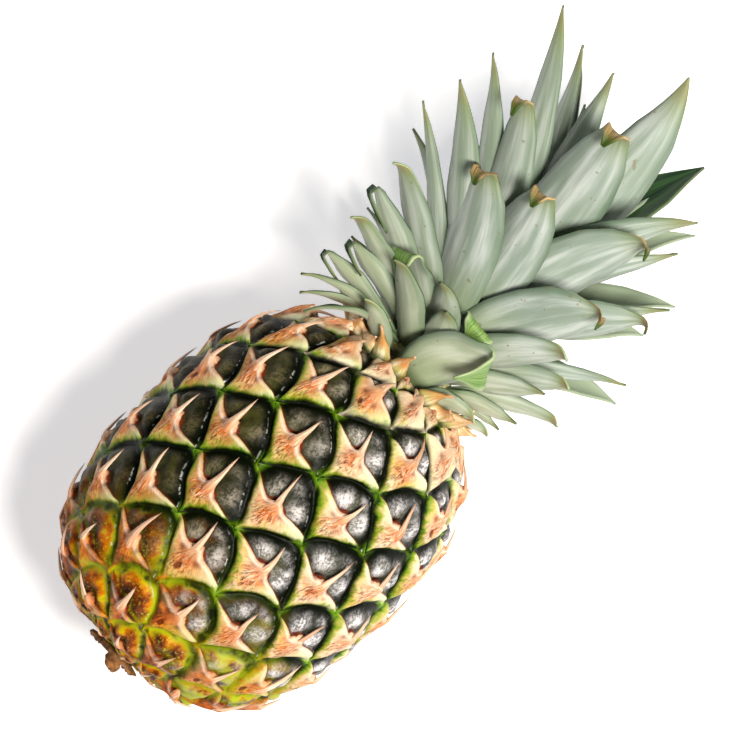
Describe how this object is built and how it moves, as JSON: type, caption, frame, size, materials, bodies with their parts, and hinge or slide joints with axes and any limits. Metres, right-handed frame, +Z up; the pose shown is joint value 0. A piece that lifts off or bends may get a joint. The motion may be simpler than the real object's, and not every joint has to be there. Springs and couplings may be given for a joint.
{
  "type": "pineapple",
  "caption": "Whole ripe pineapple lying on its side: scaly fused fruit with soft spines, cut stalk with dried bracts, and a leafy crown.",
  "frame": {"origin": "middle of the flat spot on the belly that the fruit lies on, under the greatest girth", "axes": "+X along the fruit from the stalk to the crown, +Z up from the surface it lies on, +Y to the side"},
  "size_m": [0.3001, 0.1299, 0.1204],
  "materials": {
    "pineapple_skin": "waxy rind, matt bracts",
    "dried_stalk": "dry and fibrous",
    "pineapple_leaf": "waxy bloom, satin"
  },
  "bodies": {
    "root": {"fruit": "pineapple_skin", "stalk": "dried_stalk", "crown": "pineapple_leaf"}
  },
  "joints": []
}
